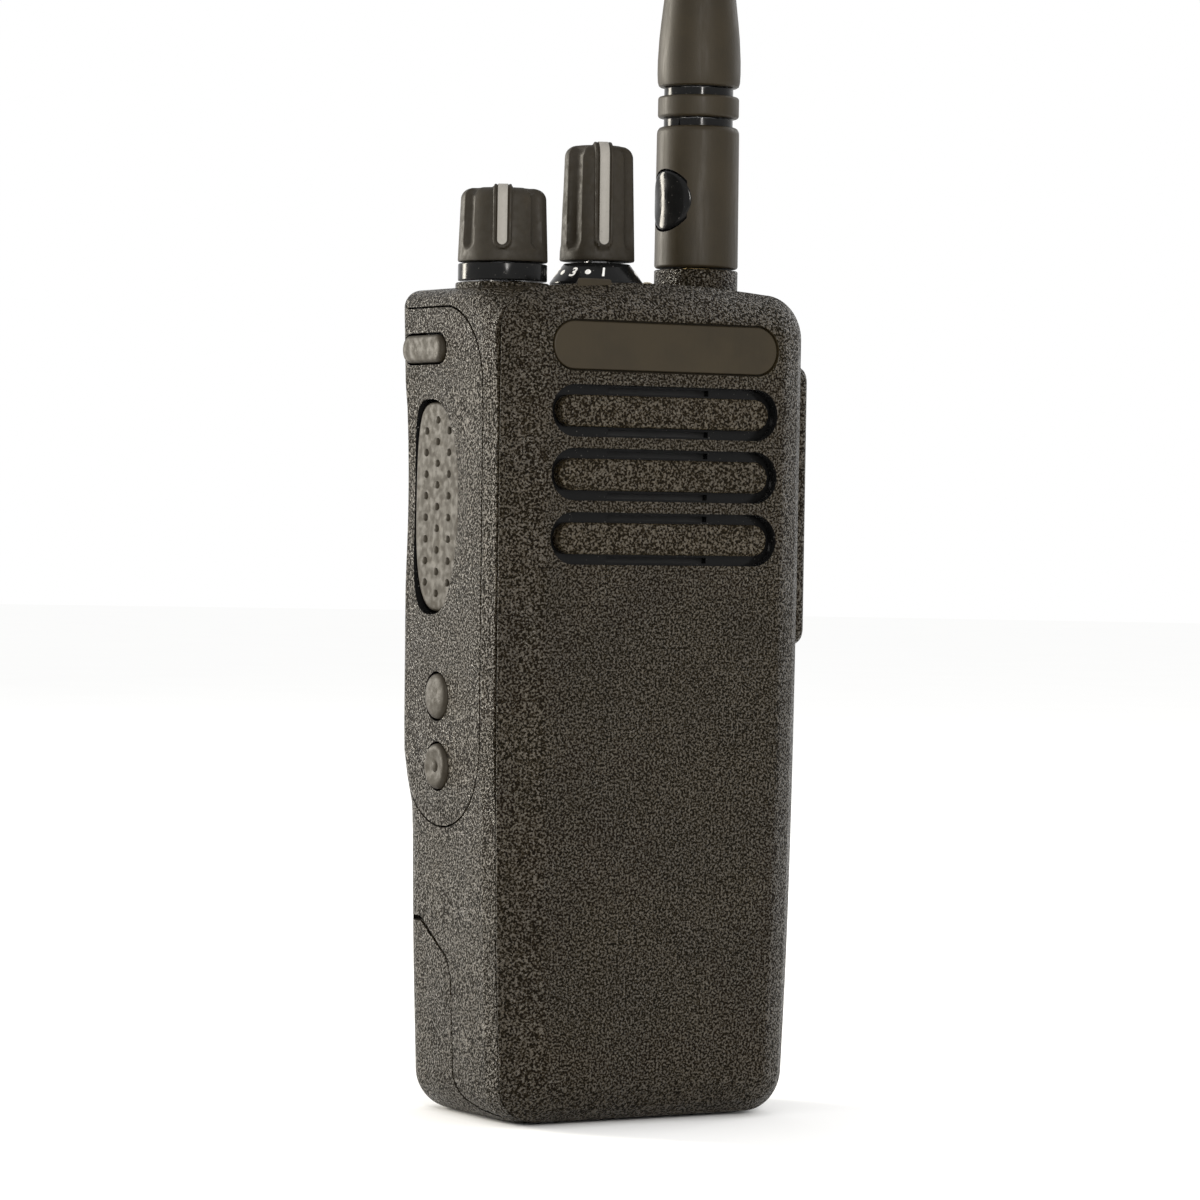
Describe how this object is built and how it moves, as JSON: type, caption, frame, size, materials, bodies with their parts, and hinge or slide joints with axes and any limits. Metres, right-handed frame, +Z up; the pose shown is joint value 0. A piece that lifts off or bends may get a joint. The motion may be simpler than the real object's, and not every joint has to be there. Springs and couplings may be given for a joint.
{
  "type": "portable two-way radio",
  "caption": "Handheld two-way radio with rotary volume and channel knobs, side talk key, screw-on whip antenna and slide-off battery.",
  "frame": {"origin": "on the flat underside of the battery foot, below the row of controls, midway between the panel's sides", "axes": "+X to the viewer's right seen from the front, +Y from the front panel to the back, +Z up along the antenna"},
  "size_m": [0.0597, 0.0354, 0.28],
  "materials": {
    "shell_plastic": "coarse moulded grain, satin",
    "smooth_plastic": "fine satin",
    "key_rubber": "fine matt",
    "gloss_black": "polished",
    "pointer_grey": "matt",
    "lens_amber": "clear, polished",
    "board_green": "solder mask",
    "cell_wrap": "shrink film",
    "black_film": "felted",
    "cast_aluminium": "die cast",
    "plated_steel": "plated",
    "brass": "turned"
  },
  "bodies": {
    "root": {"front_housing": "shell_plastic", "front_panel": "shell_plastic", "name_plate": "smooth_plastic", "grille_bar_upper": "shell_plastic", "grille_bar_middle": "shell_plastic", "grille_bar_lower": "shell_plastic", "speaker_baffle": "gloss_black", "speaker_screen": "black_film", "speaker_frame": "plated_steel", "speaker_cone": "black_film", "speaker_magnet": "plated_steel", "microphone": "cast_aluminium", "side_control_plate": "shell_plastic", "side_key_flex": "black_film", "chassis": "cast_aluminium", "main_board": "board_green", "board_screw_lower_left": "plated_steel", "board_screw_lower_right": "plated_steel", "board_screw_upper_left": "plated_steel", "board_screw_upper_right": "plated_steel", "main_seal": "key_rubber", "rf_shield": "plated_steel", "contact_block": "smooth_plastic", "volume_potentiometer": "smooth_plastic", "channel_switch": "smooth_plastic", "antenna_socket": "brass", "status_lens": "lens_amber", "volume_collar": "gloss_black", "channel_dial": "gloss_black", "accessory_connector": "smooth_plastic", "accessory_contacts": "brass"},
    "volume_control": {"volume_knob": "key_rubber", "volume_pointer": "pointer_grey", "volume_shaft": "plated_steel"},
    "channel_control": {"channel_knob": "key_rubber", "channel_pointer": "pointer_grey", "channel_shaft": "plated_steel"},
    "antenna_lift": {"antenna_core": "brass", "antenna_sleeve": "plated_steel"},
    "antenna": {"antenna_base": "smooth_plastic", "antenna_badge": "gloss_black", "antenna_stud": "brass", "antenna_band": "smooth_plastic", "antenna_whip": "smooth_plastic"},
    "talk_key": {"push_to_talk_key": "key_rubber"},
    "upper_key": {"side_key_upper": "key_rubber"},
    "lower_key": {"side_key_lower": "key_rubber"},
    "top_button": {"top_key": "key_rubber"},
    "port_cover": {"accessory_cover": "shell_plastic"},
    "port_screw": {"cover_screw": "plated_steel"},
    "battery": {"battery_case": "shell_plastic", "battery_inner_cover": "smooth_plastic", "battery_cell_left": "cell_wrap", "battery_cell_right": "cell_wrap", "battery_board": "board_green", "battery_contacts": "brass", "latch_spring_left": "plated_steel", "latch_spring_right": "plated_steel"},
    "latch": {"battery_latch": "smooth_plastic"}
  },
  "joints": [
    {"name": "volume_turn", "type": "hinge", "parent": "root", "child": "volume_control", "pos_m": [-0.0191, 0.0005, 0.133], "axis": [0, 0, -1], "range_deg": [0, 270]},
    {"name": "channel_turn", "type": "hinge", "parent": "root", "child": "channel_control", "pos_m": [-0.0022, 0.0005, 0.1338], "axis": [0, 0, -1], "range_deg": [0, 337.5]},
    {"name": "antenna_rise", "type": "slide", "parent": "root", "child": "antenna_lift", "axis": [0, 0, 1], "range_m": [0, 0.00305]},
    {"name": "antenna_turn", "type": "hinge", "parent": "antenna_lift", "child": "antenna", "pos_m": [0.016, 0.0005, 0.1334], "axis": [0, 0, 1], "range_deg": [0, 1080]},
    {"name": "talk_press", "type": "slide", "parent": "root", "child": "talk_key", "axis": [1, 0, 0], "range_m": [0, 0.0007], "stiffness_N_per_m": 6000},
    {"name": "upper_key_press", "type": "slide", "parent": "root", "child": "upper_key", "axis": [1, 0, 0], "range_m": [0, 0.0005], "stiffness_N_per_m": 5000},
    {"name": "lower_key_press", "type": "slide", "parent": "root", "child": "lower_key", "axis": [1, 0, 0], "range_m": [0, 0.0005], "stiffness_N_per_m": 5000},
    {"name": "top_key_press", "type": "slide", "parent": "root", "child": "top_button", "axis": [1, 0, 0], "range_m": [0, 0.0004], "stiffness_N_per_m": 5000},
    {"name": "port_cover_swing", "type": "hinge", "parent": "root", "child": "port_cover", "pos_m": [0.0282, -0.00275, 0.118], "axis": [0, -1, 0], "range_deg": [0, 60]},
    {"name": "port_screw_turn", "type": "hinge", "parent": "port_cover", "child": "port_screw", "pos_m": [0.031, -0.00275, 0.0795], "axis": [1, 0, 0], "range_deg": [0, 1080]},
    {"name": "battery_slide", "type": "slide", "parent": "root", "child": "battery", "axis": [0, 0, -1], "range_m": [0, 0.02]},
    {"name": "latch_slide", "type": "slide", "parent": "battery", "child": "latch", "axis": [0, 1, 0], "range_m": [0, 0.0022], "stiffness_N_per_m": 900}
  ],
  "couplings": [
    {"joint": "antenna_rise", "follows": "antenna_turn", "m_per_rad": 0.00015915}
  ]
}
